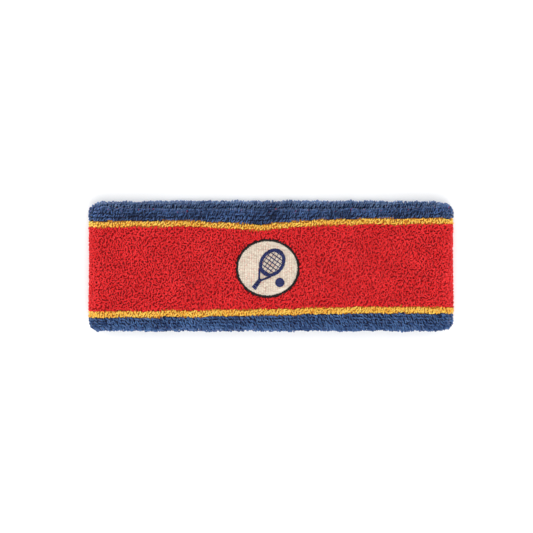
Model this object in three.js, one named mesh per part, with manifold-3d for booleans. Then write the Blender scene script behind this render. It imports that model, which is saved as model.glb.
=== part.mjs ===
// A terry sports headband, lying flat: a knitted ring pressed into a front and a back panel.
// Each panel is a flattened tube of elastic ground knit with terry pile outside and inside.
// Millimetres. +X runs along the band, +Y across its width, +Z up through its thickness.
// The origin is on the resting face, under the middle of the band.

import * as THREE from "three";
import { mergeVertices } from "three/addons/utils/BufferGeometryUtils.js";
import Module from "manifold-3d";

const wasm = await Module();
wasm.setup();

// ---- Driving dimensions ----

const BAND_LENGTH = 180;
const BAND_WIDTH = 64.2;
const CLEARANCE = 0.3;

// The space that the head goes through, between the two panels of the flattened ring.
const GAPE = 5;

// Layers of one panel, from the head side outwards.
const LINING_PILE = 1.3;
const GROUND = 0.3;
const ELASTIC_THICKNESS = 0.4;
const STABILISER_THICKNESS = 0.2;
const OUTER_PILE = 1.45;
const LAYER_GAP = 0.25;

// Heights of the layers above the middle plane of the ring.
const LINING_IN = GAPE / 2;
const LINING_OUT = LINING_IN + LINING_PILE;
const GROUND_IN = LINING_OUT + LAYER_GAP;
const HOLLOW_IN = GROUND_IN + GROUND;
const ELASTIC_IN = HOLLOW_IN + LAYER_GAP;
const STABILISER_IN = ELASTIC_IN + ELASTIC_THICKNESS + LAYER_GAP;
const HOLLOW_OUT = STABILISER_IN + STABILISER_THICKNESS + LAYER_GAP;
const GROUND_OUT = HOLLOW_OUT + GROUND;
const PILE_IN = GROUND_OUT + LAYER_GAP;
const PILE_OUT = PILE_IN + OUTER_PILE;

// The side folds are half rings round the ends of the gape. The panels stop where they start.
const FOLD_CENTRE = BAND_LENGTH / 2 - PILE_OUT;
const PANEL_END = FOLD_CENTRE - CLEARANCE;
const FOLD_EDGE_ROUND = 1.2;

// The rolled blue edges.
const EDGE_ROUND = 2.4;
const STRIPE_HALF = 1.7;

// Steps along a curved edge, round a curve and round a rolled edge.
const STATIONS = 12;
const CURVE_STEPS = 16;
const FOLD_STEPS = 8;
const ROUND_STEPS = 3;

// Edges and stripes of the front panel. Its upper edge and stripe have sunk along the middle.
const FRONT_TOP_MIDDLE = 27.4;
const FRONT_TOP_RISE = 2;
const FRONT_FOLD_TOP = 29;
const FRONT_UPPER_STRIPE = 20.9;
const UPPER_STRIPE_CLIMB = 0.9;
const UPPER_STRIPE_DIP = 2.1;
const DIP_X = -7;
const DIP_REACH = 21.5;
const FRONT_LOWER_STRIPE = -22.7;
const LOWER_STRIPE_SWAY = 1.2;
const SWAY_TURN = 1.6;

// Edges and stripes of the back panel.
const BACK_TOP_FALL = 0.8;
const BACK_FOLD_TOP = 31.2;
const BACK_BOTTOM = -31;
const BACK_UPPER_STRIPE = 23.1;
const BACK_LOWER_STRIPE = -21.9;

// The chain-stitched seam that closes the lining.
const SEAM_Y = -12;
const SEAM_WIDTH = 1.2;
const SEAM_SINK = 0.1;

// The elastic yarn runs to and fro between the walls of the ground knit.
const ELASTIC_RUNS = 8;
const ELASTIC_WIDTH = 0.6;
const ELASTIC_LOW = -25;
const ELASTIC_HIGH = 22;
const ELASTIC_REACH = PANEL_END - 4;
const TURN_STEPS = 6;

// The embroidered badge on the front panel.
const BADGE_X = -1.6;
const BADGE_Y = -1.4;
const BADGE_HALF_LENGTH = 15.7;
const BADGE_HALF_HEIGHT = 14.45;
const BADGE_BORDER = 1.25;
const BADGE_FILL_THICKNESS = 0.6;
const BADGE_FILL_TOP = PILE_IN + BADGE_FILL_THICKNESS;
const STABILISER_MARGIN = 1.5;
const MOTIF_THICKNESS = 0.4;

// The racket and ball on the badge, before the racket is tilted.
const RACKET_TILT = -0.62;
const RACKET_X = 2.2;
const RACKET_Y = 2.8;
const HOOP_HALF_LENGTH = 7.3;
const HOOP_HALF_WIDTH = 5.9;
const HOOP_RIM = 1.5;
const STRING_WIDTH = 0.5;
const STRING_PITCH = 1.8;
const HANDLE_LENGTH = 8.0;
const HANDLE_HALF = 1.0;
const THROAT_LENGTH = 3.6;
const THROAT_HALF = 3.2;
const BALL_RADIUS = 2.2;
const BALL_X = 5.9;
const BALL_Y = -6.9;

// How rough the terry and the smoother embroidery threads are.
const PILE_ROUGHNESS = 0.95;
const THREAD_ROUGHNESS = 0.6;

const COLOURS = {
  red: 0xc8232c,
  gold: 0xf0b13a,
  blue: 0x33517f,
  ground: 0xa81d2a,
  elastic: 0xe8e4dc,
  thread: 0x2c4670,
  cream: 0xefe6d6,
  black: 0x16161a,
  navy: 0x1f285c,
  backing: 0xf4f2ee,
};

// ---- The edges and stripes of the two panels, as heights across the width ----

const HALF_LENGTH = BAND_LENGTH / 2;

const dip = (x) => UPPER_STRIPE_DIP * Math.exp(-(((x - DIP_X) / DIP_REACH) ** 2));

const front = {
  top: (x) => FRONT_TOP_MIDDLE + FRONT_TOP_RISE * (x / HALF_LENGTH) ** 4,
  bottom: () => -BAND_WIDTH / 2,
  upperStripe: (x) => FRONT_UPPER_STRIPE + (UPPER_STRIPE_CLIMB * x) / HALF_LENGTH - dip(x),
  lowerStripe: (x) => FRONT_LOWER_STRIPE + LOWER_STRIPE_SWAY * Math.sin((SWAY_TURN * x) / HALF_LENGTH),
  foldTop: FRONT_FOLD_TOP,
};

const back = {
  top: (x) => BAND_WIDTH / 2 - BACK_TOP_FALL * (x / HALF_LENGTH) ** 4,
  bottom: () => BACK_BOTTOM,
  upperStripe: () => BACK_UPPER_STRIPE,
  lowerStripe: () => BACK_LOWER_STRIPE,
  foldTop: BACK_FOLD_TOP,
};

// ---- Shapes and solids ----

// The outline between two curves over the length, from one end to the other.
function stripOutline(low, high, end) {
  const outline = new THREE.Shape();
  const step = (2 * end) / STATIONS;
  outline.moveTo(-end, low(-end));
  for (let i = 1; i <= STATIONS; i++) {
    const x = -end + i * step;
    outline.lineTo(x, low(x));
  }
  for (let i = STATIONS; i >= 0; i--) {
    const x = -end + i * step;
    outline.lineTo(x, high(x));
  }
  outline.closePath();
  return outline;
}

function rectangle(left, low, right, high) {
  const outline = new THREE.Shape();
  outline.moveTo(left, low);
  outline.lineTo(right, low);
  outline.lineTo(right, high);
  outline.lineTo(left, high);
  outline.closePath();
  return outline;
}

// A plan outline raised from one height to another, with square edges.
function slab(outline, from, to) {
  const geometry = new THREE.ExtrudeGeometry(outline, {
    depth: to - from,
    bevelEnabled: false,
    curveSegments: CURVE_STEPS,
  });
  return geometry.translate(0, 0, from);
}

// A plan outline raised from one height to another, with rounded edges.
function roundedSlab(outline, from, to, radius) {
  const geometry = new THREE.ExtrudeGeometry(outline, {
    depth: to - from - 2 * radius,
    bevelEnabled: true,
    bevelThickness: radius,
    bevelSize: radius,
    bevelOffset: -radius,
    bevelSegments: ROUND_STEPS,
    curveSegments: CURVE_STEPS,
  });
  return geometry.translate(0, 0, from + radius);
}

function solid(geometry) {
  const bare = geometry.clone();
  bare.deleteAttribute("normal");
  bare.deleteAttribute("uv");
  const merged = mergeVertices(bare, 1e-4);
  return new wasm.Manifold(
    new wasm.Mesh({
      numProp: 3,
      vertProperties: merged.attributes.position.array,
      triVerts: new Uint32Array(merged.index.array),
    }),
  );
}

function geometryOf(body) {
  const mesh = body.getMesh();
  const geometry = new THREE.BufferGeometry();
  geometry.setAttribute("position", new THREE.BufferAttribute(mesh.vertProperties, 3));
  geometry.setIndex(new THREE.BufferAttribute(mesh.triVerts, 1));
  return geometry;
}

function addPiece(group, name, geometry, colour, roughness = PILE_ROUGHNESS) {
  const material = new THREE.MeshStandardMaterial({ color: colour, roughness, metalness: 0 });
  const mesh = new THREE.Mesh(geometry, material);
  mesh.name = name;
  group.add(mesh);
  return mesh;
}

function ellipseOutline(halfLength, halfHeight) {
  const outline = new THREE.Shape();
  outline.absellipse(0, 0, halfLength, halfHeight, 0, 2 * Math.PI, false);
  return outline;
}

// ---- The pieces of one panel ----

// A flat zone of pile between two curves. The hole leaves room for the badge.
function pileZone(low, high, hole) {
  const outline = stripOutline(low, high, PANEL_END);
  if (hole) outline.holes.push(hole);
  return slab(outline, PILE_IN, PILE_OUT);
}

// An edge roll: the fabric turns from the outer wall round the edge to the lining.
function edgeRoll(low, high, hollowLow, hollowHigh, keepLow, keepHigh) {
  const overrun = PANEL_END + 3 * EDGE_ROUND;
  const full = roundedSlab(stripOutline(low, high, overrun), LINING_IN, PILE_OUT, EDGE_ROUND);
  const hollow = slab(stripOutline(hollowLow, hollowHigh, overrun), LINING_OUT, PILE_IN);
  const keep = slab(stripOutline(keepLow, keepHigh, PANEL_END), 0, 2 * PILE_OUT);
  return geometryOf(solid(full).subtract(solid(hollow)).intersect(solid(keep)));
}

// The ground knit: a flattened tube, open at both ends, where it runs on into the side folds.
function groundTube(edges) {
  const inset = OUTER_PILE + CLEARANCE;
  const low = (x) => edges.bottom(x) + inset;
  const high = (x) => edges.top(x) - inset;
  const outer = slab(stripOutline(low, high, PANEL_END), GROUND_IN, GROUND_OUT);
  const inner = slab(
    stripOutline(
      (x) => low(x) + GROUND,
      (x) => high(x) - GROUND,
      PANEL_END + 1,
    ),
    HOLLOW_IN,
    HOLLOW_OUT,
  );
  return geometryOf(solid(outer).subtract(solid(inner)));
}

// One flat covered-elastic yarn that doubles back at each end of the panel.
function elasticYarn() {
  const pitch = (ELASTIC_HIGH - ELASTIC_LOW) / (ELASTIC_RUNS - 1);
  const path = [];
  for (let run = 0; run < ELASTIC_RUNS; run++) {
    const y = ELASTIC_LOW + run * pitch;
    const side = run % 2 === 0 ? 1 : -1;
    if (run === 0) path.push({ x: -ELASTIC_REACH, y, angle: Math.PI / 2 });
    if (run === ELASTIC_RUNS - 1) {
      path.push({ x: side * ELASTIC_REACH, y, angle: (side * Math.PI) / 2 });
      continue;
    }
    for (let i = 0; i <= TURN_STEPS; i++) {
      const sweep = -Math.PI / 2 + (i * Math.PI) / TURN_STEPS;
      path.push({
        x: side * (ELASTIC_REACH + (pitch / 2) * Math.cos(sweep)),
        y: y + pitch / 2 + (pitch / 2) * Math.sin(sweep),
        angle: Math.PI + side * sweep,
      });
    }
  }
  const beside = (point, offset) =>
    new THREE.Vector2(
      point.x + offset * Math.cos(point.angle),
      point.y + offset * Math.sin(point.angle),
    );
  const leftSide = path.map((point) => beside(point, ELASTIC_WIDTH / 2));
  const rightSide = path.map((point) => beside(point, -ELASTIC_WIDTH / 2)).reverse();
  const outline = new THREE.Shape(leftSide.concat(rightSide));
  return slab(outline, ELASTIC_IN, ELASTIC_IN + ELASTIC_THICKNESS);
}

// A quarter ring round the end of the gape, which meets the other panel's at the middle plane.
function foldQuarter(side, innerRadius, outerRadius, low, high) {
  const lift = CLEARANCE / 2;
  const outline = new THREE.Shape();
  const startOuter = Math.asin(lift / outerRadius);
  const startInner = Math.asin(lift / innerRadius);
  outline.absarc(0, 0, outerRadius, startOuter, Math.PI / 2, false);
  outline.absarc(0, 0, innerRadius, Math.PI / 2, startInner, true);
  outline.closePath();
  const depth = high - low;
  const options = { depth, bevelEnabled: false, curveSegments: FOLD_STEPS };
  const geometry = new THREE.ExtrudeGeometry(outline, options);
  // The outline stands up, and its depth runs across the width of the band.
  geometry.rotateX(Math.PI / 2);
  geometry.translate(0, high, 0);
  if (side < 0) geometry.rotateZ(Math.PI).translate(0, high + low, 0);
  geometry.translate(side * FOLD_CENTRE, 0, 0);
  return trimFoldEdges(geometry, low, high);
}

// The fold's ends curve in where they meet the rolled edges.
function trimFoldEdges(geometry, low, high) {
  const envelope = rectangle(-2 * HALF_LENGTH, low, 2 * HALF_LENGTH, high);
  const rounded = roundedSlab(envelope, -PILE_OUT, PILE_OUT, FOLD_EDGE_ROUND);
  return geometryOf(solid(geometry).intersect(solid(rounded)));
}

function buildPanel(name, edges, badgeHole) {
  const group = new THREE.Group();
  const half = CLEARANCE / 2;
  const upperLow = (x) => edges.upperStripe(x) - STRIPE_HALF;
  const upperHigh = (x) => edges.upperStripe(x) + STRIPE_HALF;
  const lowerLow = (x) => edges.lowerStripe(x) - STRIPE_HALF;
  const lowerHigh = (x) => edges.lowerStripe(x) + STRIPE_HALF;
  const raise = (curve, by) => (x) => curve(x) + by;
  const middle = () => 0;
  const beyond = (sign) => () => sign * BAND_WIDTH;

  const red = pileZone(raise(lowerHigh, half), raise(upperLow, -half), badgeHole);
  addPiece(group, name + "_red_pile_band", red, COLOURS.red);

  const upperGold = pileZone(raise(upperLow, half), raise(upperHigh, -half));
  addPiece(group, name + "_upper_gold_stripe", upperGold, COLOURS.gold);

  const lowerGold = pileZone(raise(lowerLow, half), raise(lowerHigh, -half));
  addPiece(group, name + "_lower_gold_stripe", lowerGold, COLOURS.gold);

  const upperRoll = edgeRoll(
    middle,
    edges.top,
    raise(middle, -1),
    raise(edges.top, -OUTER_PILE),
    raise(upperHigh, half),
    beyond(1),
  );
  addPiece(group, name + "_upper_edge_roll", upperRoll, COLOURS.blue);

  const lowerRoll = edgeRoll(
    edges.bottom,
    middle,
    raise(edges.bottom, OUTER_PILE),
    raise(middle, 1),
    beyond(-1),
    raise(lowerLow, -half),
  );
  addPiece(group, name + "_lower_edge_roll", lowerRoll, COLOURS.blue);

  const seamLow = SEAM_Y - SEAM_WIDTH / 2;
  const seamHigh = SEAM_Y + SEAM_WIDTH / 2;
  const upperLining = stripOutline(() => seamHigh + CLEARANCE, raise(upperHigh, -half), PANEL_END);
  const lowerLining = stripOutline(raise(lowerLow, half), () => seamLow - CLEARANCE, PANEL_END);
  addPiece(group, name + "_upper_lining", slab(upperLining, LINING_IN, LINING_OUT), COLOURS.blue);
  addPiece(group, name + "_lower_lining", slab(lowerLining, LINING_IN, LINING_OUT), COLOURS.blue);

  const seamRound = SEAM_WIDTH / 4;
  const seam = rectangle(-PANEL_END, seamLow, PANEL_END, seamHigh);
  const seamSolid = roundedSlab(seam, LINING_IN + SEAM_SINK, LINING_OUT, seamRound);
  addPiece(group, name + "_linking_seam", seamSolid, COLOURS.thread);

  addPiece(group, name + "_ground_knit", groundTube(edges), COLOURS.ground);
  addPiece(group, name + "_elastic_yarn", elasticYarn(), COLOURS.elastic, THREAD_ROUGHNESS);

  for (const [word, side] of [["left", -1], ["right", 1]]) {
    const fold = (inner, outer, inset) =>
      foldQuarter(side, inner, outer, edges.bottom() + inset, edges.foldTop - inset);
    const label = name + "_" + word;
    addPiece(group, label + "_outer_fold", fold(HOLLOW_OUT, PILE_OUT, 0), COLOURS.red);
    addPiece(group, label + "_lining_fold", fold(LINING_IN, HOLLOW_IN, OUTER_PILE), COLOURS.blue);
  }
  return group;
}

// ---- The embroidered badge ----

function racketHandle() {
  const outline = new THREE.Shape();
  const bottom = -HOOP_HALF_LENGTH - HANDLE_LENGTH;
  const throat = -HOOP_HALF_LENGTH - THROAT_LENGTH;
  const shoulder = -HOOP_HALF_LENGTH * Math.sqrt(1 - (THROAT_HALF / HOOP_HALF_WIDTH) ** 2);
  outline.moveTo(-HANDLE_HALF, bottom);
  outline.lineTo(HANDLE_HALF, bottom);
  outline.lineTo(HANDLE_HALF, throat);
  outline.lineTo(THROAT_HALF, shoulder);
  outline.lineTo(-THROAT_HALF, shoulder);
  outline.lineTo(-HANDLE_HALF, throat);
  outline.closePath();
  const clear = ellipseOutline(HOOP_HALF_WIDTH + CLEARANCE, HOOP_HALF_LENGTH + CLEARANCE);
  const handle = solid(slab(outline, 0, MOTIF_THICKNESS));
  return geometryOf(handle.subtract(solid(slab(clear, -1, 1))));
}

// The string bed is a plate with a square opening in each mesh of the strings.
function racketStrings() {
  const halfWidth = HOOP_HALF_WIDTH - HOOP_RIM - CLEARANCE;
  const halfLength = HOOP_HALF_LENGTH - HOOP_RIM - CLEARANCE;
  const half = (STRING_PITCH - STRING_WIDTH) / 2;
  const isInside = (x, y) =>
    ((Math.abs(x) + half) / (halfWidth - STRING_WIDTH)) ** 2 +
      ((Math.abs(y) + half) / (halfLength - STRING_WIDTH)) ** 2 < 1;
  let bed = solid(slab(ellipseOutline(halfWidth, halfLength), 0, MOTIF_THICKNESS));
  for (let column = -2; column <= 2; column++) {
    for (let row = -2; row <= 2; row++) {
      const x = column * STRING_PITCH;
      const y = row * STRING_PITCH;
      if (!isInside(x, y)) continue;
      const opening = rectangle(x - half, y - half, x + half, y + half);
      bed = bed.subtract(solid(slab(opening, -1, 1)));
    }
  }
  return geometryOf(bed);
}

function buildBadge() {
  const group = new THREE.Group();
  group.position.set(BADGE_X, BADGE_Y, 0);

  const fillLength = BADGE_HALF_LENGTH - BADGE_BORDER - CLEARANCE;
  const fillHeight = BADGE_HALF_HEIGHT - BADGE_BORDER - CLEARANCE;
  const fill = slab(ellipseOutline(fillLength, fillHeight), PILE_IN, BADGE_FILL_TOP);
  addPiece(group, "badge_cream_fill", fill, COLOURS.cream, THREAD_ROUGHNESS);

  const rim = ellipseOutline(BADGE_HALF_LENGTH, BADGE_HALF_HEIGHT);
  rim.holes.push(ellipseOutline(BADGE_HALF_LENGTH - BADGE_BORDER, BADGE_HALF_HEIGHT - BADGE_BORDER));
  addPiece(group, "badge_satin_border", slab(rim, PILE_IN, PILE_OUT), COLOURS.black, THREAD_ROUGHNESS);

  const backing = ellipseOutline(
    BADGE_HALF_LENGTH + STABILISER_MARGIN,
    BADGE_HALF_HEIGHT + STABILISER_MARGIN,
  );
  const backingTop = STABILISER_IN + STABILISER_THICKNESS;
  addPiece(group, "badge_stabiliser", slab(backing, STABILISER_IN, backingTop), COLOURS.backing);

  const motif = new THREE.Group();
  motif.position.set(0, 0, BADGE_FILL_TOP + CLEARANCE);
  group.add(motif);

  const racket = new THREE.Group();
  racket.position.set(RACKET_X, RACKET_Y, 0);
  racket.rotation.z = RACKET_TILT;
  motif.add(racket);

  const hoop = ellipseOutline(HOOP_HALF_WIDTH, HOOP_HALF_LENGTH);
  hoop.holes.push(ellipseOutline(HOOP_HALF_WIDTH - HOOP_RIM, HOOP_HALF_LENGTH - HOOP_RIM));
  addPiece(racket, "badge_racket_hoop", slab(hoop, 0, MOTIF_THICKNESS), COLOURS.navy, THREAD_ROUGHNESS);
  addPiece(racket, "badge_racket_strings", racketStrings(), COLOURS.navy, THREAD_ROUGHNESS);
  addPiece(racket, "badge_racket_handle", racketHandle(), COLOURS.navy, THREAD_ROUGHNESS);

  const ball = slab(ellipseOutline(BALL_RADIUS, BALL_RADIUS), 0, MOTIF_THICKNESS);
  ball.translate(BALL_X, BALL_Y, 0);
  addPiece(motif, "badge_ball", ball, COLOURS.navy, THREAD_ROUGHNESS);
  return group;
}

// ---- The headband ----

const badgeHole = new THREE.Path();
badgeHole.absellipse(
  BADGE_X,
  BADGE_Y,
  BADGE_HALF_LENGTH + CLEARANCE,
  BADGE_HALF_HEIGHT + CLEARANCE,
  0,
  2 * Math.PI,
  true,
);

const headband = new THREE.Group();

const frontPanel = buildPanel("front", front, badgeHole);
frontPanel.add(buildBadge());
frontPanel.position.z = PILE_OUT;
headband.add(frontPanel);

// The back panel is turned over, so that its pile faces down.
const backPanel = buildPanel("back", back, null);
backPanel.rotation.y = Math.PI;
backPanel.position.z = PILE_OUT;
headband.add(backPanel);

export default headband;
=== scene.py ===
import math
from collections import namedtuple

import bpy
import numpy as np
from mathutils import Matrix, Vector

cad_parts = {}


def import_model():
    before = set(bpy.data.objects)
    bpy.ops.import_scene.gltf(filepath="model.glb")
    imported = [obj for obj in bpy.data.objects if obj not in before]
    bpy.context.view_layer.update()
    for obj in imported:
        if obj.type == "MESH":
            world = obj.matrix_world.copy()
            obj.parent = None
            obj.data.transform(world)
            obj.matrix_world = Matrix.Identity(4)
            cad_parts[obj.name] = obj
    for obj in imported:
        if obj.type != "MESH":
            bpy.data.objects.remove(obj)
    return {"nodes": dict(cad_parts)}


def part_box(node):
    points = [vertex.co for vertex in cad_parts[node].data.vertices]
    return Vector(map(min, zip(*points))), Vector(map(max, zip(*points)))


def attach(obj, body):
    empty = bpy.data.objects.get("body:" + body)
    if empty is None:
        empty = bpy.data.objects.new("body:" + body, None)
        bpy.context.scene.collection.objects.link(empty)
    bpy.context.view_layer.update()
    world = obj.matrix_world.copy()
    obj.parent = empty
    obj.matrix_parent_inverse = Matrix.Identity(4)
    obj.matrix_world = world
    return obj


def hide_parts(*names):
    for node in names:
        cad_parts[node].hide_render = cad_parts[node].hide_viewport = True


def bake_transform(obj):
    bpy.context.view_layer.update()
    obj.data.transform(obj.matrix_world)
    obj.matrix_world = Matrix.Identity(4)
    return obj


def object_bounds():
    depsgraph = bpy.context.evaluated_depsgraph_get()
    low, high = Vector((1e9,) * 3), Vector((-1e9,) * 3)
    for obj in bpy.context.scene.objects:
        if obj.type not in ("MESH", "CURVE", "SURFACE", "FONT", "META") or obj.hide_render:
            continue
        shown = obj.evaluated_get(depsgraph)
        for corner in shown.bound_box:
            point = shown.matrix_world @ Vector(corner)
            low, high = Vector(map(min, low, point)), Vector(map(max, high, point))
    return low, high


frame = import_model()

# A terry sports headband, lying flat: a knitted ring pressed into a front and a back panel.
# Each panel is a flattened tube of ground knit. Terry loops stand on it outside and inside, in
# zones of red, gold and blue yarn. The ring opens as the front panel is pulled up from the back.

CAD_LOW, CAD_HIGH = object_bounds()

MM = 0.001

# ---- Sizes taken from the frame, in metres ----

MIDDLE = (CAD_LOW.z + CAD_HIGH.z) / 2
PILE_OUT = CAD_HIGH.z - MIDDLE
PILE_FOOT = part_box("front_red_pile_band")[0].z - MIDDLE
LINING_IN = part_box("front_upper_lining")[0].z - MIDDLE
LINING_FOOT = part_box("front_ground_knit")[0].z - MIDDLE
FOLD_RADIUS = (PILE_OUT + LINING_IN) / 2
FOLD_X = CAD_HIGH.x - PILE_OUT
HALF_LENGTH = CAD_HIGH.x
HALF_WIDTH = CAD_HIGH.y
TIP = FOLD_X + FOLD_RADIUS * math.pi / 2

# Places through a panel's thickness, from its middle layer.
WALL_OUT = PILE_FOOT - 0.25 * MM - FOLD_RADIUS
WALL_IN = LINING_FOOT - FOLD_RADIUS
YARN_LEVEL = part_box("front_elastic_yarn")[0].z - MIDDLE - FOLD_RADIUS

# ---- Edges and stripes ----

# Half the height of a gold stripe, where its neighbours' loops stop and where its own feet stop.
STRIPE_HALF, STRIPE_FEET = 1.7 * MM, 1.25 * MM
UPPER_STRIPE_HALF, UPPER_STRIPE_FEET = 1.5 * MM, 1.08 * MM
# How far the loops stand out past the knit at an edge.
EDGE_PILE = 1.25 * MM
# How far each edge draws in at the tips, where the two panels' edges meet.
FRONT_UPPER_CORNER, FRONT_LOWER_CORNER = 0.2 * MM, 2.6 * MM
BACK_UPPER_CORNER, BACK_LOWER_CORNER = 2.1 * MM, 1.5 * MM
# How far the pile of one panel laps over the other's at the tips, where the ring turns over.
LAP_ANGLE = 0.5
OUTER_LAP = 0.5 * MM
LINING_LAP = 1.4 * MM
SEAM_Y = -12 * MM


def unit(s):
    return s / HALF_LENGTH


def turn_angle(s):
    """How far round the side fold s is: 0 on the flat, a quarter turn at the tip."""
    return np.clip((np.abs(s) - FOLD_X) / FOLD_RADIUS, 0, math.pi / 2 + LAP_ANGLE)


def corner_drop(s, drop):
    """How far an edge has drawn in at s, for an edge that draws in by drop at the tip."""
    return drop * (1 - np.cos(np.minimum(turn_angle(s), math.pi / 2))) ** 1.3


def ripple(s, lengths, sizes, phase):
    """A small smooth unevenness along the band."""
    total = np.zeros_like(s)
    for i, (length, size) in enumerate(zip(lengths, sizes)):
        total += size * np.sin(2 * math.pi * s / length + phase * (i + 1.3))
    return total


def edge_ripple(s, phase):
    return ripple(s, (31 * MM, 13.7 * MM, 7.9 * MM), (0.16 * MM, 0.13 * MM, 0.10 * MM), phase)


def stripe_ripple(s, phase):
    return ripple(s, (23 * MM, 11.3 * MM), (0.16 * MM, 0.12 * MM), phase)


def meeting(own, other, s):
    """The back's own stripe, which swings over to meet the front's at the tips."""
    return own + (other - own) * np.minimum(np.abs(unit(s)), 1) ** 8


def front_top(s):
    rise = 2 * MM * unit(s) ** 4
    return 27.4 * MM + rise - corner_drop(s, FRONT_UPPER_CORNER) + edge_ripple(s, phase=0.7)


def front_bottom(s):
    return -HALF_WIDTH + corner_drop(s, FRONT_LOWER_CORNER) + edge_ripple(s, phase=2.9)


def front_upper_stripe(s):
    dip = 2.1 * MM * np.exp(-(((s + 7 * MM) / (21.5 * MM)) ** 2))
    return 20.9 * MM + 0.9 * MM * unit(s) - dip + stripe_ripple(s, phase=0.4)


def front_lower_stripe(s):
    droop = 0.8 * MM * np.maximum(unit(s), 0) ** 6
    return -22.7 * MM + 1.2 * MM * np.sin(1.6 * unit(s)) - droop + stripe_ripple(s, phase=1.9)


def back_top(s):
    fall = 0.8 * MM * unit(s) ** 4
    return HALF_WIDTH - fall - corner_drop(s, BACK_UPPER_CORNER) + edge_ripple(s, phase=4.1)


def back_bottom(s):
    return -31 * MM + corner_drop(s, BACK_LOWER_CORNER) + edge_ripple(s, phase=5.3)


def back_upper_stripe(s):
    return meeting(23.1 * MM + stripe_ripple(s, phase=3.3), front_upper_stripe(s), s)


def back_lower_stripe(s):
    return meeting(-21.9 * MM + stripe_ripple(s, phase=5.1), front_lower_stripe(s), s)


# up is 1 for the panel whose outer wall faces up, and -1 for the other. The rest are curves.
Panel = namedtuple("Panel", "name up top bottom upper_stripe lower_stripe")
FRONT = Panel("front", 1, front_top, front_bottom, front_upper_stripe, front_lower_stripe)
BACK = Panel("back", -1, back_top, back_bottom, back_upper_stripe, back_lower_stripe)
PANELS = (FRONT, BACK)
SIDES = (("left", -1), ("right", 1))

# ---- From a place on a panel to the row frame ----


def swell(s, y):
    """The soft unevenness of the fabric, out of its plane."""
    a = np.sin(s / (9.3 * MM) + 1.1) * np.sin(y / (7.7 * MM) + 0.3)
    b = np.sin(s / (4.1 * MM) + y / (6.3 * MM) + 2.2)
    return 0.14 * MM * a + 0.07 * MM * b


def place(panel, s, y, m):
    """Points in the row frame: s along the band, y across it, m out through the thickness."""
    turn = turn_angle(s)
    side = np.sign(s)
    radius = FOLD_RADIUS + m
    x = side * (np.minimum(np.abs(s), FOLD_X) + radius * np.sin(turn))
    z = MIDDLE + panel.up * radius * np.cos(turn)
    return np.stack([x, y + 0 * s, z], axis=-1)


def frame_at(panel, s):
    """Unit vectors along the band, across it and out through its thickness."""
    turn = turn_angle(s)
    side = np.sign(s)
    zero = np.zeros_like(s)
    along = np.stack([np.cos(turn), zero, -panel.up * side * np.sin(turn)], axis=-1)
    across = np.stack([zero, zero + 1, zero], axis=-1)
    out = np.stack([side * np.sin(turn), zero, panel.up * np.cos(turn)], axis=-1)
    return along, across, out


# The fold of the fabric at an edge is half an ellipse between the outer and the inner wall.
FOLD_DEPTH = 1.7 * MM
FOLD_RISE = (WALL_OUT - WALL_IN) / 2
FOLD_LEVEL = (WALL_OUT + WALL_IN) / 2
FOLD_GIRTH = math.pi * math.sqrt((FOLD_DEPTH**2 + FOLD_RISE**2) / 2)


def edge_section(y_start, y_edge, u, sign):
    """y, m and the outward and forward directions at u along the fabric, round an edge.

    The fabric starts on the outer wall at y_start, runs to the edge, round it and back inside.
    sign is 1 at the upper edge and -1 at the lower one.
    """
    centre = y_edge - sign * (EDGE_PILE + FOLD_DEPTH)
    flat = np.abs(centre - y_start)
    angle = np.clip((u - flat) / FOLD_GIRTH, 0, 1) * math.pi
    back = np.maximum(u - flat - FOLD_GIRTH, 0)
    y = centre + sign * (np.minimum(u - flat, 0) + FOLD_DEPTH * np.sin(angle) - back)
    m = FOLD_LEVEL + FOLD_RISE * np.cos(angle)
    out_y, out_m = FOLD_RISE * np.sin(angle), FOLD_DEPTH * np.cos(angle)
    size = np.hypot(out_y, out_m)
    out_y, out_m = sign * out_y / size, out_m / size
    return y, m, out_y, out_m


# ---- Meshes made of many small tubes ----

SHADES = 6


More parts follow.
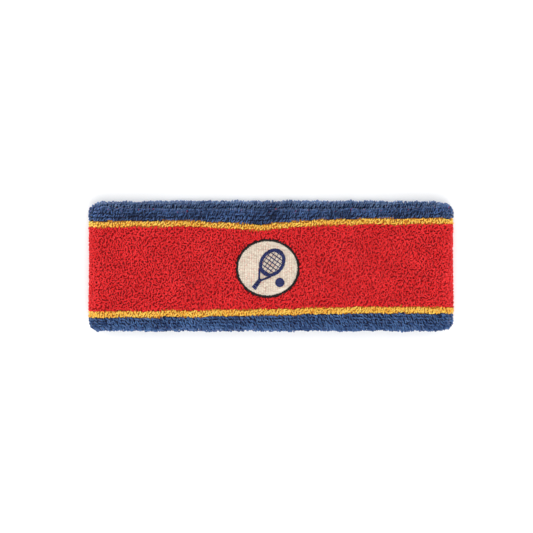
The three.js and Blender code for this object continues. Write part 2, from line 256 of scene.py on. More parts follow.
class Tubes:
    """Collects tubes of the same number of rings and sides, and makes one mesh of them."""

    def __init__(self, sides=4):
        self.sides = sides
        self.points, self.quads, self.shades, self.slots, self.count = [], [], [], [], 0

    def add(self, centres, normals, binormals, radii, shades):
        """centres, normals and binormals are (tubes, rings, 3), radii (tubes, rings)."""
        tubes, rings = centres.shape[:2]
        angles = (np.arange(self.sides) + 0.5) * 2 * math.pi / self.sides
        ring = (
            normals[:, :, None, :] * np.cos(angles)[None, None, :, None]
            + binormals[:, :, None, :] * np.sin(angles)[None, None, :, None]
        )
        points = centres[:, :, None, :] + radii[:, :, None, None] * ring
        sides = self.sides
        r, c = np.meshgrid(np.arange(rings - 1), np.arange(sides), indexing="ij")
        after = (c + 1) % sides
        quads = np.stack(
            [r * sides + c, r * sides + after, (r + 1) * sides + after, (r + 1) * sides + c], -1
        ).reshape(-1, 4)
        if sides == 4:
            first, last = [3, 2, 1, 0], [(rings - 1) * 4 + k for k in range(4)]
            quads = np.vstack([quads, [first, last]])
        start = self.count + np.arange(tubes) * rings * sides
        self.quads.append((quads[None] + start[:, None, None]).reshape(-1, 4))
        self.points.append(points.reshape(-1, 3))
        self.shades.append(np.repeat(shades, rings * sides))
        self.slots.append(self.slots_of(len(quads), rings - 1, shades))
        self.count += tubes * rings * sides

    def slots_of(self, faces, steps, shades):
        """A material slot for each face: the tube's own shade, and one shade darker at its two feet
        as painted shade in the pits between the loops.
        """
        own = np.clip((shades * SHADES).astype(int), 0, SHADES - 1)
        # The first and last steps of each tube take the next darker slot: painted shade where the
        # loop goes down into the knit.
        painted_shade_at_feet = np.zeros(faces, dtype=int)
        painted_shade_at_feet[: self.sides] = painted_shade_at_feet[(steps - 1) * self.sides :] = 1
        return np.maximum(own[:, None] - painted_shade_at_feet[None], 0).ravel()

    def mesh(self, name, material):
        """One mesh of all the tubes, in one material or in a list of SHADES of them."""
        points = np.concatenate(self.points)
        quads = np.concatenate(self.quads)
        slots = np.concatenate(self.slots)
        if isinstance(material, list):
            return make_mesh(name, points, quads, material, slots=slots)
        return make_mesh(name, points, quads, [material], shades=np.concatenate(self.shades))


def make_mesh(name, points, quads, materials, shades=None, slots=None):
    mesh = bpy.data.meshes.new(name)
    mesh.vertices.add(len(points))
    mesh.vertices.foreach_set("co", points.astype(np.float32).ravel())
    mesh.loops.add(quads.size)
    mesh.loops.foreach_set("vertex_index", quads.astype(np.int32).ravel())
    mesh.polygons.add(len(quads))
    mesh.polygons.foreach_set("loop_start", np.arange(0, quads.size, 4, dtype=np.int32))
    mesh.polygons.foreach_set("use_smooth", np.ones(len(quads), dtype=bool))
    mesh.update(calc_edges=True)
    if shades is not None:
        attribute = mesh.attributes.new("shade", "FLOAT", "POINT")
        attribute.data.foreach_set("value", shades.astype(np.float32))
    for material in materials:
        mesh.materials.append(material)
    if slots is not None:
        mesh.polygons.foreach_set("material_index", slots.astype(np.int32))
    piece = bpy.data.objects.new(name, mesh)
    bpy.context.scene.collection.objects.link(piece)
    return piece


# ---- Terry loops ----

LOOP_RINGS = 6
# A loop's feet start this far down in the ground knit.
LOOP_SINK = 0.2 * MM
# Paler and darker patches of pile, and the upright ribs of the knit.
PATCH_ALONG, PATCH_ACROSS = 5.3 * MM, 6.1 * MM
WALE_PITCH = 2.2 * MM


def normalise(v):
    return v / np.maximum(np.linalg.norm(v, axis=-1, keepdims=True), 1e-12)


def loops(tubes, foot, along, across, out, rng, span, height, turn, lean, yarn):
    """Arches of yarn. foot and the three directions are (loops, 3); the rest (loops,)."""
    n = len(foot)
    heading = along * np.cos(turn)[:, None] + across * np.sin(turn)[:, None]
    sideways = rng.uniform(0, 2 * math.pi, n)
    tilt = along * np.cos(sideways)[:, None] + across * np.sin(sideways)[:, None]
    up = normalise(out + tilt * lean[:, None])
    bend = normalise(np.cross(heading, up))
    up = normalise(np.cross(bend, heading))
    t = np.linspace(0, 1, LOOP_RINGS)[None, :, None] * math.pi
    half, tall = span[:, None, None] / 2, height[:, None, None]
    centres = (
        foot[:, None, :]
        - heading[:, None, :] * half * np.cos(t)
        + up[:, None, :] * (tall * np.sin(t) ** 0.8 - LOOP_SINK)
    )
    tangent = normalise(
        heading[:, None, :] * half * np.sin(t) + up[:, None, :] * tall * np.cos(t)
    )
    binormal = np.broadcast_to(bend[:, None, :], tangent.shape)
    normal = np.cross(binormal, tangent)
    radii = yarn[:, None] * (0.82 + 0.25 * np.sin(t[..., 0]))
    x, y = foot[:, 0], foot[:, 1]
    patch = 0.5 + 0.5 * np.sin(x / PATCH_ALONG + 2 * np.sin(y / PATCH_ACROSS))
    wale = 0.5 + 0.5 * np.cos(2 * math.pi * x / WALE_PITCH)
    shades = 0.05 + 0.65 * rng.beta(2, 2, n) + 0.18 * patch + 0.12 * wale
    tubes.add(centres, normal, -binormal, radii, shades)


def grid(rng, side, end, across_mean, pitch_s, pitch_u, jitter_s, jitter_u):
    """Jittered rows and columns: places along the band, and shares across the zone."""
    rows = max(1, round(across_mean / pitch_u))
    columns = max(1, round(end / pitch_s))
    row, column = np.meshgrid(np.arange(rows), np.arange(columns), indexing="ij")
    row, column = row.ravel(), column.ravel()
    stagger = 0.5 * (row % 2)
    s = (column + stagger + 0.25 + jitter_s * rng.uniform(-1, 1, row.size)) * end / columns
    share = (row + 0.5 + jitter_u * rng.uniform(-1, 1, row.size)) / rows
    keep = (s > 0) & (s < end)
    return side * s[keep], share[keep]


def arc_to_s(arc, radius):
    """A distance along a layer that turns at this radius, as a place along the band."""
    over = np.maximum(np.abs(arc) - FOLD_X, 0)
    return np.sign(arc) * (np.minimum(np.abs(arc), FOLD_X) + over * FOLD_RADIUS / radius)


# Round the side fold the outer loops are spaced evenly at this radius, near their tops.
OUTER_LAYER = PILE_OUT * 0.9
LINING_LAYER = FOLD_RADIUS + WALL_IN
# The distance to the tip along each layer. The lining's is cut short, where it crowds.
OUTER_ARC = FOLD_X + OUTER_LAYER * math.pi / 2
LINING_ARC = FOLD_X + LINING_LAYER * 0.8 * math.pi / 2
# The place along the band where a zone's rows are counted.
PROBE = 40 * MM

# Each zone's loops. Pitches, span, height and yarn radius are in mm, and jitters are shares of a
# pitch. turn is the mean heading and its spread in radians, or None for every heading.
RED_LOOPS = dict(pitch_s=0.97, pitch_u=1.03, jitter_s=0.3, jitter_u=0.4, span=1.3, height=1.5,
                 turn=(1.35, 0.75), lean=0.45, yarn=0.335)
GOLD_LOOPS = dict(pitch_s=0.88, pitch_u=0.9, jitter_s=0.3, jitter_u=0.45, span=1.15, height=1.5,
                  turn=(1.2, 0.5), lean=0.3, yarn=0.32)
UPPER_LOOPS = dict(pitch_s=1.05, pitch_u=1.7, jitter_s=0.22, jitter_u=0.14, span=1.5, height=1.55,
                   turn=(1.0, 0.35), lean=0.3, yarn=0.325)
BACK_UPPER_LOOPS = dict(UPPER_LOOPS, turn=(-1.0, 0.25))
LOWER_LOOPS = dict(pitch_s=1.05, pitch_u=1.55, jitter_s=0.25, jitter_u=0.14, span=1.55, height=1.4,
                   turn=(-0.9, 0.35), lean=0.3, yarn=0.36)
SPECK_LOOPS = dict(pitch_s=9.0, pitch_u=1.0, jitter_s=0.5, jitter_u=0.5, span=0.8, height=1.65,
                   turn=(0.5, 0.5), lean=0.3, yarn=0.1)
LINING_LOOPS = dict(pitch_s=1.35, pitch_u=1.4, jitter_s=0.35, jitter_u=0.3, span=1.5, height=1.15,
                    turn=None, lean=0.4, yarn=0.36)


def zone_loops(tubes, rng, panel, s, y, m, out_y, out_m, style):
    """Loops of one style with their feet at s, y and m, standing along out_y and out_m."""
    along, across, out = frame_at(panel, s)
    n = len(s)
    foot = place(panel, s, y, m + swell(s, y) * np.sign(out_m + 1e-6))
    outward = across * out_y[:, None] + out * out_m[:, None]
    forward = across * out_m[:, None] - out * out_y[:, None]

    def scatter(spread):
        return 1 + spread * rng.uniform(-1, 1, n)

    if style["turn"] is None:
        turn = rng.uniform(0, 2 * math.pi, n)
    else:
        middle, spread = style["turn"]
        turn = middle + spread * rng.normal(0, 1, n)
    loops(
        tubes, foot, along, forward, outward, rng,
        span=style["span"] * MM * scatter(0.3),
        height=style["height"] * MM * scatter(0.22),
        turn=turn,
        lean=style["lean"] * rng.uniform(0, 1, n),
        yarn=style["yarn"] * MM * scatter(0.12),
    )


def spaced(style):
    """The style's pitches and jitters, as grid takes them."""
    return (style["pitch_s"] * MM, style["pitch_u"] * MM, style["jitter_s"], style["jitter_u"])


def wall_zone(name, panel, side, low, high, style, material, hole=None, inside=False):
    """A zone of loops on the flat of a wall, between two curves."""
    rng = np.random.default_rng(seed_of(name))
    tubes = Tubes()
    radius = LINING_LAYER if inside else OUTER_LAYER
    end = LINING_ARC + LINING_LAP if inside else OUTER_ARC + OUTER_LAP
    probe = np.array([PROBE]) * side
    mean = float(np.mean(high(probe) - low(probe)))
    arc, share = grid(rng, side, end, mean, *spaced(style))
    s = arc_to_s(arc, radius)
    y = low(s) + (high(s) - low(s)) * share
    if hole is not None:
        keep = ~hole(s, y)
        s, y = s[keep], y[keep]
    level = np.full_like(s, WALL_IN if inside else WALL_OUT)
    sign = np.full_like(s, -1.0 if inside else 1.0)
    zone_loops(tubes, rng, panel, s, y, level, np.zeros_like(s), sign, style)
    return tubes.mesh(name, material)


# How far an edge's loops go on down the inside wall.
INSIDE_TURN = 2.4 * MM
# The fold's loops spread apart, because they stand out all round it, so it gets more of them.
FOLD_SPREAD = 2.0


def flat_length(start, edge, s):
    """The height of the flat between a stripe and the fold at an edge."""
    return np.abs(edge(s) - start(s)) - EDGE_PILE - FOLD_DEPTH


def edge_zone(name, panel, side, start, edge, sign, style, material):
    """Loops from a stripe, round an edge roll, and a little way down the inside."""
    rng = np.random.default_rng(seed_of(name))
    tubes = Tubes()
    fold = FOLD_GIRTH * FOLD_SPREAD
    girth = float(flat_length(start, edge, np.array([PROBE]) * side)[0]) + fold + INSIDE_TURN
    arc, share = grid(rng, side, OUTER_ARC + OUTER_LAP, girth, *spaced(style))
    s = arc_to_s(arc, OUTER_LAYER)
    flat = flat_length(start, edge, s)
    spread = share * (flat + fold + INSIDE_TURN)
    on_fold = np.clip(spread - flat, 0, fold) / FOLD_SPREAD
    past_fold = np.maximum(spread - flat - fold, 0)
    u = np.minimum(spread, flat) + on_fold + past_fold
    y, m, out_y, out_m = edge_section(start(s), edge(s), u, sign)
    zone_loops(tubes, rng, panel, s, y, m, out_y, out_m, style)
    return tubes.mesh(name, material)


# The groove, as shares of the way round the fold.
GROOVE_NEAR, GROOVE_FAR = 0.18, 0.5


def groove_specks(name, panel, side, start, edge, style, material):
    """Fibres of the red ground that come up between the loops, in the groove at the upper edge."""
    rng = np.random.default_rng(seed_of(name))
    tubes = Tubes()
    arc, share = grid(rng, side, OUTER_ARC, style["pitch_u"] * MM, *spaced(style))
    s = arc_to_s(arc, OUTER_LAYER)
    u = flat_length(start, edge, s) + FOLD_GIRTH * (GROOVE_NEAR + (GROOVE_FAR - GROOVE_NEAR) * share)
    y, m, out_y, out_m = edge_section(start(s), edge(s), u, 1)
    zone_loops(tubes, rng, panel, s, y, m, out_y, out_m, style)
    return tubes.mesh(name, material)


def seed_of(name):
    """The same number each run for the same name."""
    value = 7
    for letter in name:
        value = (value * 131 + ord(letter)) % 1000003
    return value


# ---- The ground knit and what lies in it ----

KNIT_THICKNESS = 0.3 * MM
KNIT_STEP = 1.0 * MM
KNIT_TURN_RINGS = 12
WALL_POINTS, FOLD_POINTS = 48, 10
# Material slots of the ground knit.
RED_SLOT, BLUE_SLOT, GOLD_SLOT = 0, 1, 2


def knit_section(panel, s):
    """The closed line of the flattened tube at each place s: y, m and its outward normal."""
    inset = EDGE_PILE + FOLD_DEPTH
    high, low = (panel.top(s) - inset)[:, None], (panel.bottom(s) + inset)[:, None]
    share = np.linspace(0, 1, WALL_POINTS, endpoint=False)[None]
    angle = np.linspace(0, math.pi, FOLD_POINTS, endpoint=False)[None]
    wall = np.zeros((len(s), WALL_POINTS))
    sine = np.sin(angle) + 0 * high
    cosine = np.cos(angle) + 0 * high
    y = [low + (high - low) * share, high + FOLD_DEPTH * sine,
         high + (low - high) * share, low - FOLD_DEPTH * sine]
    m = [wall + WALL_OUT, FOLD_LEVEL + FOLD_RISE * cosine,
         wall + WALL_IN, FOLD_LEVEL - FOLD_RISE * cosine]
    ny = [wall, sine, wall, -sine]
    nm = [wall + 1, cosine, wall - 1, -cosine]
    return [np.concatenate(parts, axis=1) for parts in (y, m, ny, nm)]


def knit_piece(name, panel, side, materials):
    """One half of a panel's ground knit, as a shell with its two ends closed."""
    flat = np.arange(0, FOLD_X, KNIT_STEP)
    turned = FOLD_X + np.linspace(0, FOLD_RADIUS * math.pi / 2, KNIT_TURN_RINGS)
    s = side * np.concatenate([flat, turned])
    y, m, ny, nm = knit_section(panel, s)
    s_grid = np.broadcast_to(s[:, None], y.shape)
    m = m + swell(s_grid, y) * np.sign(nm + 1e-6)
    outer = place(panel, s_grid, y, m)
    inner = place(panel, s_grid, y - KNIT_THICKNESS * ny, m - KNIT_THICKNESS * nm)
    rows, around = y.shape
    points = np.concatenate([outer.reshape(-1, 3), inner.reshape(-1, 3)])
    r, c = np.meshgrid(np.arange(rows - 1), np.arange(around), indexing="ij")
    after = (c + 1) % around
    corners = (r * around + c, (r + 1) * around + c, (r + 1) * around + after, r * around + after)
    skin = np.stack(corners, -1).reshape(-1, 4)
    back = skin[:, ::-1] + rows * around
    ring = np.arange(around)
    after = (ring + 1) % around
    inside = rows * around
    first = np.stack([ring, after, inside + after, inside + ring], -1)
    last = (rows - 1) * around
    end = np.stack([last + after, last + ring, inside + last + ring, inside + last + after], -1)
    quads = np.vstack([skin, back, first, end])
    if side * panel.up < 0:
        quads = quads[:, ::-1]
    flat_s = np.tile(s_grid.ravel(), 2)[quads].mean(1)
    flat_y = np.tile(y.ravel(), 2)[quads].mean(1)
    flat_n = np.tile(nm.ravel(), 2)[quads].mean(1)
    upper, lower = panel.upper_stripe(flat_s), panel.lower_stripe(flat_s)
    from_stripe = np.minimum(np.abs(flat_y - upper), np.abs(flat_y - lower))
    red = (flat_y < upper) & (flat_y > lower) & (flat_n > 0)
    gold = (from_stripe < STRIPE_HALF) & (flat_n > 0)
    slots = np.where(gold, GOLD_SLOT, np.where(red, RED_SLOT, BLUE_SLOT))
    slots[len(skin) :] = BLUE_SLOT
    return make_mesh(name, points, quads, materials, slots=slots)


def tube_along(tubes, path, out, radii, shades):
    """Adds tubes along paths of points; out is a direction square to the path."""
    tangent = normalise(np.gradient(path, axis=1))
    binormal = normalise(np.cross(tangent, np.broadcast_to(out, tangent.shape)))
    normal = np.cross(binormal, tangent)
    tubes.add(path, normal, -binormal, radii, shades)


ELASTIC_RUNS = 8
ELASTIC_LOW, ELASTIC_HIGH = -25 * MM, 22 * MM
ELASTIC_REACH = 78 * MM
ELASTIC_RADIUS = 0.28 * MM
ELASTIC_STEP = 1.5 * MM


def elastic_piece(name, panel, side, material):
    """Half of the elastic yarn: pairs of runs that turn round at this side, and any single run."""
    tubes = Tubes(sides=8)
    pitch = (ELASTIC_HIGH - ELASTIC_LOW) / (ELASTIC_RUNS - 1)
    run_y = ELASTIC_LOW + pitch * np.arange(ELASTIC_RUNS)
    first = 0 if side > 0 else 1
    reach = ELASTIC_REACH - pitch / 2
    straight = np.arange(0, reach, ELASTIC_STEP)
    arc = np.linspace(-math.pi / 2, math.pi / 2, 13)[1:-1]
    for i in range(first, ELASTIC_RUNS - 1, 2):
        centre = (run_y[i] + run_y[i + 1]) / 2
        s = np.concatenate([straight, reach + pitch / 2 * np.cos(arc), straight[::-1]])
        y = np.concatenate([0 * straight + run_y[i], centre + pitch / 2 * np.sin(arc),
                            0 * straight + run_y[i + 1]])
        add_elastic(tubes, panel, side * s, y)
    if first == 1:
        for i in (0, ELASTIC_RUNS - 1):
            add_elastic(tubes, panel, side * straight, 0 * straight + run_y[i])
    return tubes.mesh(name, material)


def add_elastic(tubes, panel, s, y):
    """A covered yarn, ridged by the thread wound round its core."""
    path = place(panel, s, y, YARN_LEVEL + 0.2 * MM)[None]
    turns = np.arange(len(s))[None]
    radii = ELASTIC_RADIUS * (1 + 0.12 * np.cos(turns * math.pi))
    tube_along(tubes, path, (0, 0, 1), radii, np.array([0.5]))


SEAM_STITCH = 2.1 * MM
# Half a link's length as a share of a stitch: over a half, so that each reaches into the next.
SEAM_REACH = 0.72
SEAM_HALF_WIDTH = 0.62 * MM
SEAM_START, SEAM_CLEARANCE, SEAM_RISE = 0.2 * MM, 0.25 * MM, 0.35 * MM
SEAM_GAP = 1.0 * MM
SEAM_YARN = 0.26 * MM


def seam_piece(name, panel, side, material):
    """Chain stitches: each link rises out of the one before it."""
    tubes = Tubes(sides=6)
    count = int(LINING_ARC / SEAM_STITCH)
    t = np.linspace(0.07, 0.93, 15) * 2 * math.pi
    begin = (np.arange(count) * SEAM_STITCH)[:, None]
    s = begin + SEAM_STITCH * (0.5 - SEAM_REACH * np.cos(t))[None] + SEAM_START
    s = side * np.clip(s, 0, TIP)
    bulge = np.sin(t) * (1 - 0.25 * np.cos(t))
    y = SEAM_Y + SEAM_HALF_WIDTH * bulge[None] + 0 * s
    rise = SEAM_RISE * (1 - np.cos(t))[None] + SEAM_CLEARANCE
    path = place(panel, s, y, WALL_IN - rise)
    _, _, out = frame_at(panel, s)
    radii = np.full(s.shape, SEAM_YARN)
    tube_along(tubes, path, out, radii, np.full(count, 0.5))
    return tubes.mesh(name, material)


# ---- The badge ----

BADGE_X, BADGE_Y = -1.6 * MM, -1.4 * MM
BADGE_LOW, BADGE_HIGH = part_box("badge_satin_border")
BADGE_HALF_X = (BADGE_HIGH.x - BADGE_LOW.x) / 2
BADGE_HALF_Y = (BADGE_HIGH.y - BADGE_LOW.y) / 2
BORDER_WIDTH = 1.25 * MM
FILL_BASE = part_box("badge_cream_fill")[0].z
FILL_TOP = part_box("badge_cream_fill")[1].z
# The top of the badge's cloth, which the stitches start from and end in.
CLOTH_TOP = FILL_TOP - 0.25 * MM
CLOTH_INSET = 0.35 * MM
CLOTH_AROUND, CLOTH_RINGS = 72, 10
THREAD = 0.19 * MM
STITCH_GAP = 0.1 * MM
# The fill: its rows, how far a stitch and its ends stray, and the shortest stitch at a row's end.
FILL_PITCH = 0.40 * MM
FILL_STITCH, FILL_SHORTEST = 1.15 * MM, 0.5 * MM
FILL_STAGGER = FILL_STITCH * 0.15
FILL_STRAY = 0.03 * MM
FILL_RISE, FILL_THREAD = 0.27 * MM, 0.215 * MM
# The satin stitches. The border has two layers: how high each rises, and how far out it reaches.
SATIN_PITCH = 0.29 * MM
SATIN_STRAY = 0.05 * MM
BORDER_LAYERS = ((0.60 * MM, -0.15 * MM), (0.83 * MM, -0.25 * MM))
BORDER_SLANT = 0.012


def inside_badge(s, y):
    return ((s - BADGE_X) / BADGE_HALF_X) ** 2 + ((y - BADGE_Y) / BADGE_HALF_Y) ** 2 < 1


def stitches(tubes, start, end, base, bow, radius, shades, rings=7):
    """Threads laid from start to end on a level base, each dipping in at both ends."""
    t = np.linspace(0, 1, rings)
    flat = start[:, None] * (1 - t)[None, :, None] + end[:, None] * t[None, :, None]
    rise = bow[:, None] * np.sin(math.pi * t)[None] ** 0.45
    z = base[:, None] + rise
    path = np.concatenate([flat, z[..., None]], axis=-1)
    radii = np.broadcast_to(radius[:, None] * (0.85 + 0.15 * np.sin(math.pi * t))[None], z.shape)
    tube_along(tubes, path, (0, 0, 1), radii, shades)


def badge_base(name, material):
    """The woven cloth that the badge is stitched on: a low dome with a rounded rim."""
    angle = np.arange(CLOTH_AROUND) * 2 * math.pi / CLOTH_AROUND
    half_x, half_y = BADGE_HALF_X - CLOTH_INSET, BADGE_HALF_Y - CLOTH_INSET
    points, quads = [], []
    share = np.linspace(0.04, 1, CLOTH_RINGS)
    for level, sizes in ((CLOTH_TOP, share), (FILL_BASE, share[::-1])):
        for size in sizes:
            points.append(np.stack([BADGE_X + half_x * size * np.cos(angle),
                                    BADGE_Y + half_y * size * np.sin(angle),
                                    np.full(CLOTH_AROUND, level)], -1))
    ring = np.arange(CLOTH_AROUND)
    after = (ring + 1) % CLOTH_AROUND
    for i in range(len(points)):
        here = i * CLOTH_AROUND
        there = (i + 1) % len(points) * CLOTH_AROUND
        quads.append(np.stack([here + ring, there + ring, there + after, here + after], -1))
    return make_mesh(name, np.concatenate(points), np.concatenate(quads), [material])


def badge_fill(name, material):
    """Rows of fill stitches, laid end to end and offset from row to row like brickwork."""
    rng = np.random.default_rng(seed_of(name))
    tubes = Tubes(sides=5)
    half_x, half_y = BADGE_HALF_X - BORDER_WIDTH * 0.75, BADGE_HALF_Y - BORDER_WIDTH * 0.75
    rows = int(2 * half_y / FILL_PITCH)
    starts, ends = [], []
    for row in range(rows):
        y = -half_y + (row + 0.5) * 2 * half_y / rows
        reach = half_x * math.sqrt(max(0, 1 - (y / half_y) ** 2))
        breaks = np.arange(-reach - FILL_STITCH, reach + FILL_STITCH, FILL_STITCH)
        breaks = breaks - breaks[0] - half_x - FILL_STITCH + (row % 2) * FILL_STAGGER
        breaks = breaks + rng.uniform(-0.06, 0.06, len(breaks)) * MM
        within = (breaks > -reach + FILL_SHORTEST) & (breaks < reach - FILL_SHORTEST)
        breaks = np.concatenate([[-reach], breaks[within], [reach]])
        for a, b in zip(breaks[:-1], breaks[1:]):
            starts.append((BADGE_X + a + STITCH_GAP, BADGE_Y + y))
            ends.append((BADGE_X + b - STITCH_GAP, BADGE_Y + y))
    starts, ends = np.array(starts), np.array(ends)
    n = len(starts)
    starts[:, 1] += rng.normal(0, FILL_STRAY, n)
    ends[:, 1] += rng.normal(0, FILL_STRAY, n)
    stitches(tubes, starts, ends, np.full(n, CLOTH_TOP), np.full(n, FILL_RISE),
             np.full(n, FILL_THREAD), rng.uniform(0.1, 0.9, n), rings=5)
    return tubes.mesh(name, material)


def badge_border(name, material):
    """Satin stitches across the border, two uneven layers of them, standing up as a rim."""
    rng = np.random.default_rng(seed_of(name))
    tubes = Tubes(sides=5)
    girth = math.pi * (BADGE_HALF_X + BADGE_HALF_Y)
    for layer, (rise, reach) in enumerate(BORDER_LAYERS):
        n = int(girth / SATIN_PITCH)
        angle = (np.arange(n) + 0.5 * layer) * 2 * math.pi / n + rng.normal(0, 0.004, n)
        slant = BORDER_SLANT * (1 - 2 * layer)
        outside = reach + rng.normal(0.05, 0.13, n) * MM
        inside = BORDER_WIDTH + rng.normal(-0.1, 0.12, n) * MM
        start = np.stack([BADGE_X + (BADGE_HALF_X + outside) * np.cos(angle - slant),
                          BADGE_Y + (BADGE_HALF_Y + outside) * np.sin(angle - slant)], -1)
        end = np.stack([BADGE_X + (BADGE_HALF_X - inside) * np.cos(angle + slant),
                        BADGE_Y + (BADGE_HALF_Y - inside) * np.sin(angle + slant)], -1)
        stitches(tubes, start, end, np.full(n, CLOTH_TOP), np.full(n, rise), np.full(n, THREAD),
                 rng.uniform(0, 1, n), rings=9)
    return tubes.mesh(name, material)


# The motif. The racket's middle and the ball's are measured from the badge's.
RACKET_X, RACKET_Y, RACKET_TILT = 2.2 * MM, 2.8 * MM, -0.62
HOOP_X, HOOP_Y, HOOP_RIM = 5.9 * MM, 7.3 * MM, 1.5 * MM
HOOP_SLANT = 0.05
STRING_PITCH, SHORTEST_STRING = 1.8 * MM, 0.8 * MM
HANDLE_LENGTH, HANDLE_HALF = 8.0 * MM, 1.0 * MM
THROAT_LENGTH, THROAT_HALF, THROAT_ARM = 3.6 * MM, 3.2 * MM, 0.48 * MM
BALL_X, BALL_Y, BALL_RADIUS = 5.9 * MM, -6.9 * MM, 2.2 * MM
MOTIF_LEVEL = FILL_TOP + 0.1 * MM


def on_racket(points):
    """From the racket's own axes, with its head's middle at the origin, to the row frame."""
    c, s = math.cos(RACKET_TILT), math.sin(RACKET_TILT)
    x, y = points[:, 0], points[:, 1]
    return np.stack([BADGE_X + RACKET_X + c * x - s * y, BADGE_Y + RACKET_Y + s * x + c * y], -1)


def satin(tubes, rng, start, end, lift):
    """A close column of parallel stitches between two lines of points. lift is in mm."""
    n = len(start)
    stray = rng.normal(0, SATIN_STRAY, (n, 2))
    stitches(tubes, start + stray, end + stray[::-1], np.full(n, MOTIF_LEVEL),
             np.full(n, lift * MM), np.full(n, THREAD * 0.95), rng.uniform(0, 1, n))


def hoop_piece(name, material):
    """Slanted satin stitches all round the racket's rim."""
    rng = np.random.default_rng(seed_of(name))
    tubes = Tubes(sides=5)
    n = int(math.pi * (HOOP_X + HOOP_Y) / SATIN_PITCH)
    angle = np.arange(n) * 2 * math.pi / n
    outside, inside = angle - HOOP_SLANT, angle + HOOP_SLANT
    outer = np.stack([HOOP_X * np.cos(outside), HOOP_Y * np.sin(outside)], -1)
    inner = np.stack([(HOOP_X - HOOP_RIM) * np.cos(inside),
                      (HOOP_Y - HOOP_RIM) * np.sin(inside)], -1)
    satin(tubes, rng, on_racket(outer), on_racket(inner), lift=0.32)
    return tubes.mesh(name, material)


def strings_piece(name, material):
    """Two layers of straight running stitches, stopped under the hoop's rim."""
    rng = np.random.default_rng(seed_of(name))
    tubes = Tubes(sides=5)
    half_x, half_y = HOOP_X - HOOP_RIM * 0.7, HOOP_Y - HOOP_RIM * 0.7
    starts, ends = [], []
    for across, along, swap in ((half_x, half_y, False), (half_y, half_x, True)):
        count = int(across / STRING_PITCH)
        for i in range(-count, count + 1):
            at = i * STRING_PITCH
            reach = along * math.sqrt(max(0, 1 - (at / across) ** 2))
            if reach < SHORTEST_STRING:
                continue
            a, b = (at, -reach), (at, reach)
            starts.append(a[::-1] if swap else a)
            ends.append(b[::-1] if swap else b)
    start, end = on_racket(np.array(starts)), on_racket(np.array(ends))
    n = len(start)
    for shift in (-0.09 * MM, 0.09 * MM):
        stitches(tubes, start + shift, end + shift, np.full(n, MOTIF_LEVEL - 0.02 * MM),
                 np.full(n, 0.14 * MM), np.full(n, THREAD * 0.75), rng.uniform(0, 1, n), rings=9)
    return tubes.mesh(name, material)


def handle_piece(name, material):
    """The two arms of the throat and the handle, each a column of satin stitches."""
    rng = np.random.default_rng(seed_of(name))
    tubes = Tubes(sides=5)
    throat_y = -HOOP_Y - THROAT_LENGTH
    n = int((HANDLE_LENGTH - THROAT_LENGTH + 1.2 * MM) / SATIN_PITCH)
    y = np.linspace(throat_y + 1.2 * MM, -HOOP_Y - HANDLE_LENGTH, n)
    half = HANDLE_HALF * (1 + 0.25 * np.linspace(0, 1, n) ** 3)
    left, right = np.stack([-half, y], -1), np.stack([half, y - 0.25 * MM], -1)
    satin(tubes, rng, on_racket(left), on_racket(right), lift=0.34)
    shoulder = -HOOP_Y * math.sqrt(1 - (THROAT_HALF / HOOP_X) ** 2)
    for sign in (-1, 1):
        n = int(math.hypot(THROAT_LENGTH, THROAT_HALF) * 1.35 / SATIN_PITCH)
        t = np.linspace(0, 1, n)
        x = sign * (THROAT_HALF + (0.35 * MM - THROAT_HALF) * t)
        y = shoulder + (throat_y + 0.4 * MM - shoulder) * t
        left, right = np.stack([x - THROAT_ARM, y], -1), np.stack([x + THROAT_ARM, y], -1)
        satin(tubes, rng, on_racket(left), on_racket(right), lift=0.28)
    return tubes.mesh(name, material)


def ball_piece(name, material):
    """A disc of level satin stitches."""
    rng = np.random.default_rng(seed_of(name))
    tubes = Tubes(sides=5)
    n = int(2 * BALL_RADIUS / SATIN_PITCH) * 2
    y = np.linspace(-BALL_RADIUS * 0.97, BALL_RADIUS * 0.97, n)
    reach = np.sqrt(BALL_RADIUS**2 - y**2)
    centre = np.array([BADGE_X + BALL_X, BADGE_Y + BALL_Y])
    left, right = np.stack([-reach, y], -1), np.stack([reach, y], -1)
    satin(tubes, rng, centre + left, centre + right, lift=0.36)
    return tubes.mesh(name, material)


SPECKS = 300


def speck_piece(name, material):
    """Fibres of the red pile that come up where the fill's stitches go through the cloth."""
    rng = np.random.default_rng(seed_of(name))
    tubes = Tubes(sides=4)
    columns = int(BADGE_HALF_X * 2 / FILL_STITCH)
    rows = int(BADGE_HALF_Y * 2 / FILL_PITCH)
    x = (rng.integers(0, columns, SPECKS) - columns // 2) * FILL_STITCH
    y = (rng.integers(0, rows, SPECKS) - rows / 2) * FILL_PITCH
    half_x, half_y = BADGE_HALF_X - BORDER_WIDTH, BADGE_HALF_Y - BORDER_WIDTH
    within = (x / half_x) ** 2 + (y / half_y) ** 2 < 0.93
    middle = np.stack([x, y], -1)[within] + np.array([BADGE_X, BADGE_Y])
    n = len(middle)
    turn = rng.normal(math.pi / 2, 0.4, n)
    length = rng.uniform(0.25, 0.6, n) * MM
    step = np.stack([np.cos(turn), np.sin(turn)], -1) * length[:, None] / 2
    stitches(tubes, middle - step, middle + step, np.full(n, FILL_TOP + 0.08 * MM),
             np.full(n, 0.16 * MM), rng.uniform(0.06, 0.12, n) * MM, rng.uniform(0, 1, n))
    return tubes.mesh(name, material)


# ---- Materials ----


def link(tree, source, target):
    tree.links.new(source, target)


def new_material(name, roughness, sheen=0.0, sheen_tint=(1, 1, 1)):
    material = bpy.data.materials.new(name)
    material.use_nodes = True
    tree = material.node_tree
    shader = tree.nodes["Principled BSDF"]
    shader.inputs["Roughness"].default_value = roughness
    shader.inputs["Specular IOR Level"].default_value = 0.25
    shader.inputs["Sheen Weight"].default_value = sheen
    shader.inputs["Sheen Roughness"].default_value = 0.6
    shader.inputs["Sheen Tint"].default_value = (*sheen_tint, 1)
    return material, tree, shader


